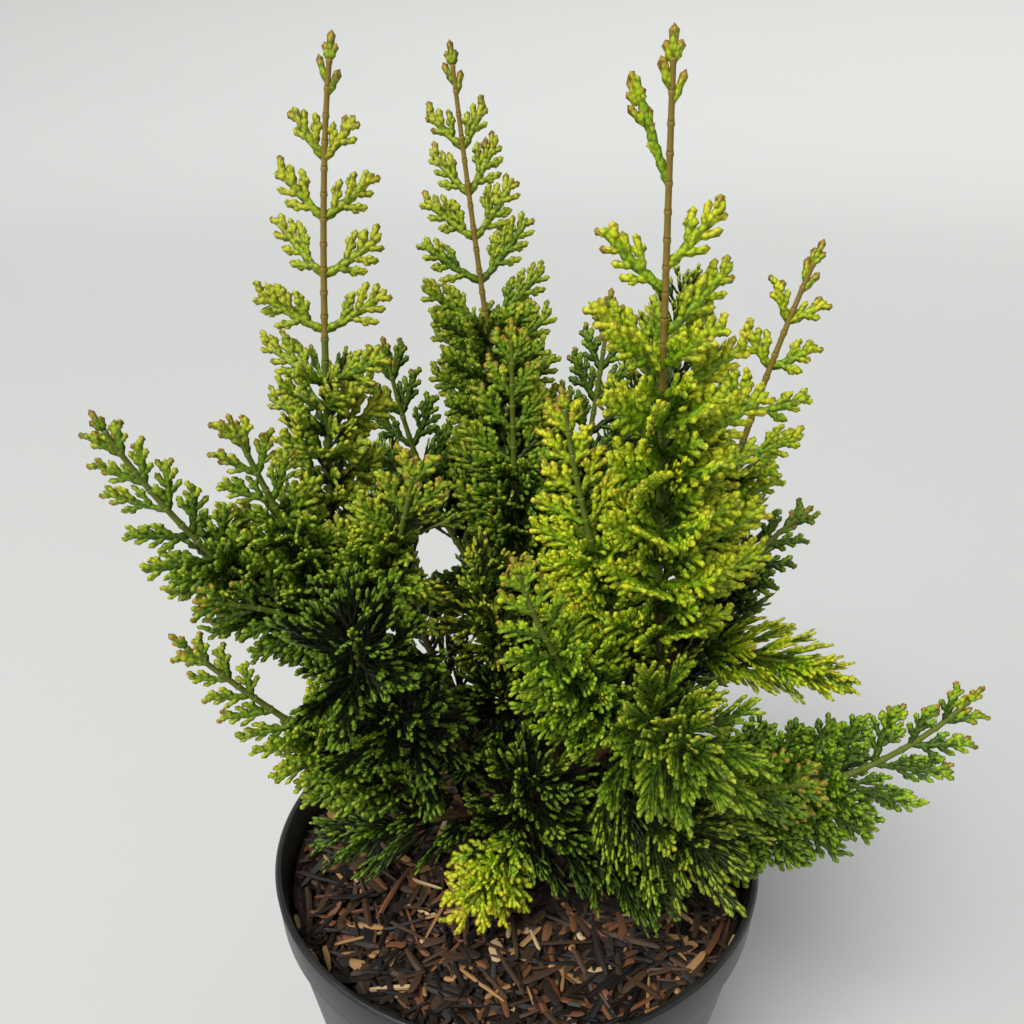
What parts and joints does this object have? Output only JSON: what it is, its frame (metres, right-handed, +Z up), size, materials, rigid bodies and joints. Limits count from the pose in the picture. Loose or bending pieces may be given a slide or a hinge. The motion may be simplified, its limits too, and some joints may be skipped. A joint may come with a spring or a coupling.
{
  "type": "potted hinoki cypress",
  "caption": "Young hinoki cypress with flat fern-like sprays of golden green foliage, in a round black nursery pot filled with compost and bark mulch.",
  "frame": {"origin": "centre of the pot's flat underside", "axes": "+Z up along the pot's axis, +X to the viewer's right, +Y away from the viewer in the picture"},
  "size_m": [0.2538, 0.1794, 0.3978],
  "materials": {
    "pot_plastic": "moulded black polypropylene, satin outside, with a slightly glossy rim",
    "bark_mulch": "chipped conifer bark over dark peaty compost, dull and rough",
    "bark": "thin red-brown bark in fine long fibres, dull",
    "foliage_gold": "golden green scale foliage with bronze tips, waxy and semi-dull",
    "foliage_lime": "fresh lime green scale foliage, waxy and semi-dull",
    "foliage_fresh": "mid green scale foliage, waxy and semi-dull",
    "foliage_olive": "olive green scale foliage with bronze tips, waxy and semi-dull",
    "foliage_deep": "dark green scale foliage, shaded and semi-dull"
  },
  "bodies": {
    "root": {"pot": "pot_plastic", "compost_and_mulch": "bark_mulch", "trunk": "bark", "left_bough": "bark", "middle_bough": "bark", "right_bough": "bark", "right_back_bough": "bark", "lower_left_bough": "bark", "lower_right_bough": "bark", "front_bough": "bark", "back_left_bough": "bark", "back_right_bough": "bark", "back_low_bough": "bark", "left_leader": "foliage_gold", "left_upper_frond": "foliage_fresh", "left_side_frond": "foliage_fresh", "left_inner_frond": "foliage_gold", "left_front_tuft": "foliage_deep", "left_arm": "foliage_fresh", "left_low_frond": "foliage_fresh", "left_neck": "foliage_deep", "middle_leader": "foliage_gold", "middle_front_frond": "foliage_olive", "middle_left_frond": "foliage_deep", "middle_right_frond": "foliage_deep", "back_middle_shoot": "foliage_fresh", "gap_sprig": "foliage_olive", "middle_neck": "foliage_deep", "right_leader": "foliage_lime", "right_inner_frond": "foliage_lime", "right_side_frond": "foliage_lime", "right_low_inner": "foliage_lime", "right_front_tuft": "foliage_lime", "right_neck": "foliage_fresh", "right_back_leader": "foliage_lime", "right_back_frond": "foliage_fresh", "right_back_tuft": "foliage_fresh", "lower_left_branch": "foliage_fresh", "lower_left_fringe": "foliage_deep", "lower_right_branch": "foliage_lime", "lower_right_front": "foliage_fresh", "right_fringe": "foliage_deep", "front_spray": "foliage_lime", "front_tuft": "foliage_deep", "centre_fringe": "foliage_deep", "back_left_shoot": "foliage_fresh", "back_left_fringe": "foliage_deep", "back_right_shoot": "foliage_fresh", "back_right_fringe": "foliage_deep", "back_low_shoot": "foliage_deep"}
  },
  "joints": []
}
